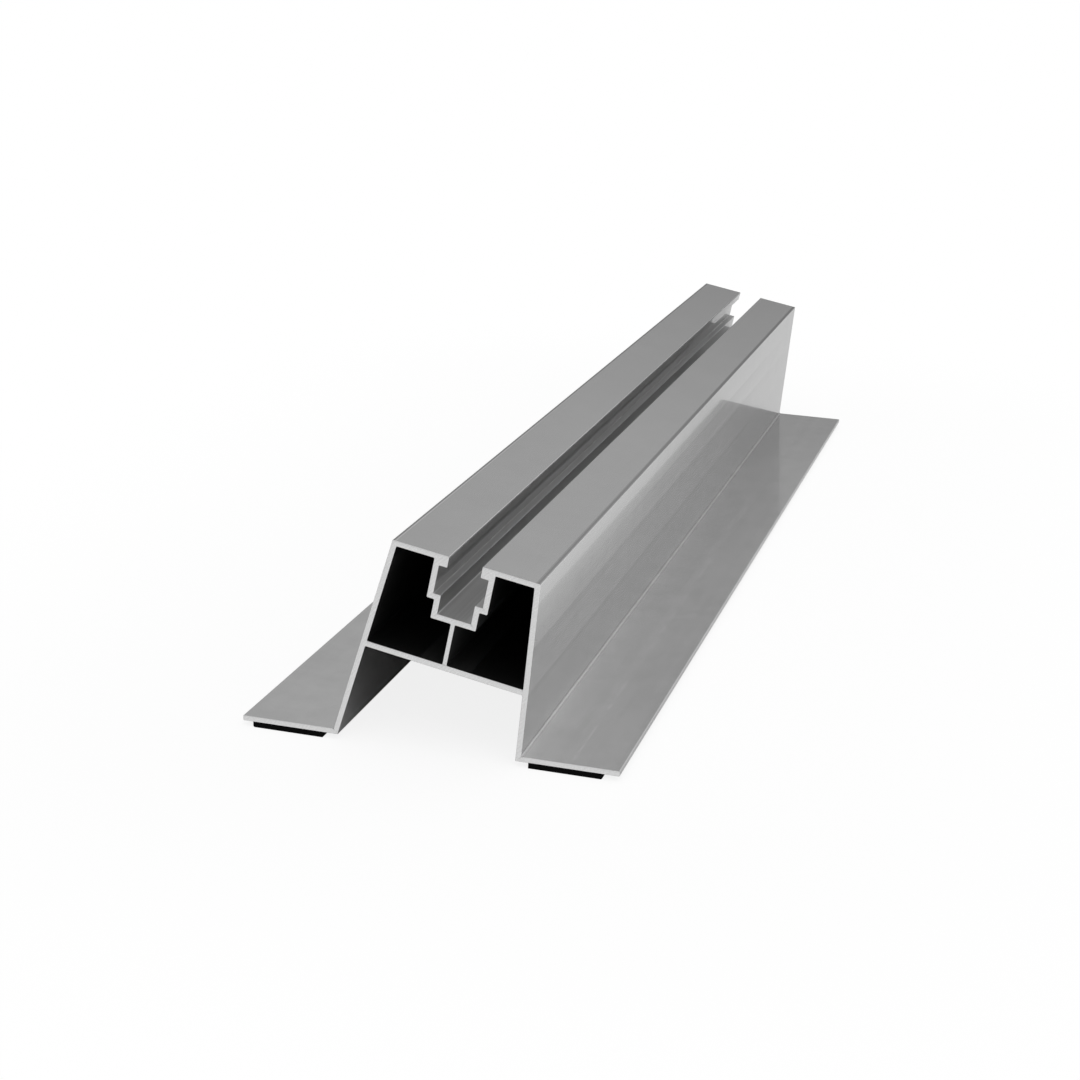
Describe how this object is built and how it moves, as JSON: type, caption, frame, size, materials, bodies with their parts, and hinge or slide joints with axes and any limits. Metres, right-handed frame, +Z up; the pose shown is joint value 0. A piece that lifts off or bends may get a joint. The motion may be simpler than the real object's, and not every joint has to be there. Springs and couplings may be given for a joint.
{
  "type": "solar mini rail",
  "caption": "Short aluminium solar mounting rail with a tilted crown, a bolt slot along its top, two hollow chambers, and flat feet on rubber strips.",
  "frame": {"origin": "on the ground under the middle of the rail, halfway between the free ends of the feet and halfway along the length", "axes": "+Y along the rail, +Z up from the feet, +X across the rail towards the side on which the crown is lower"},
  "size_m": [0.1036, 0.4, 0.0571],
  "materials": {
    "mill_aluminium": "mill finish as pressed, with faint lines along its length",
    "black_rubber": "matte"
  },
  "bodies": {
    "root": {"rail_extrusion": "mill_aluminium", "left_rubber_strip": "black_rubber", "right_rubber_strip": "black_rubber"}
  },
  "joints": []
}
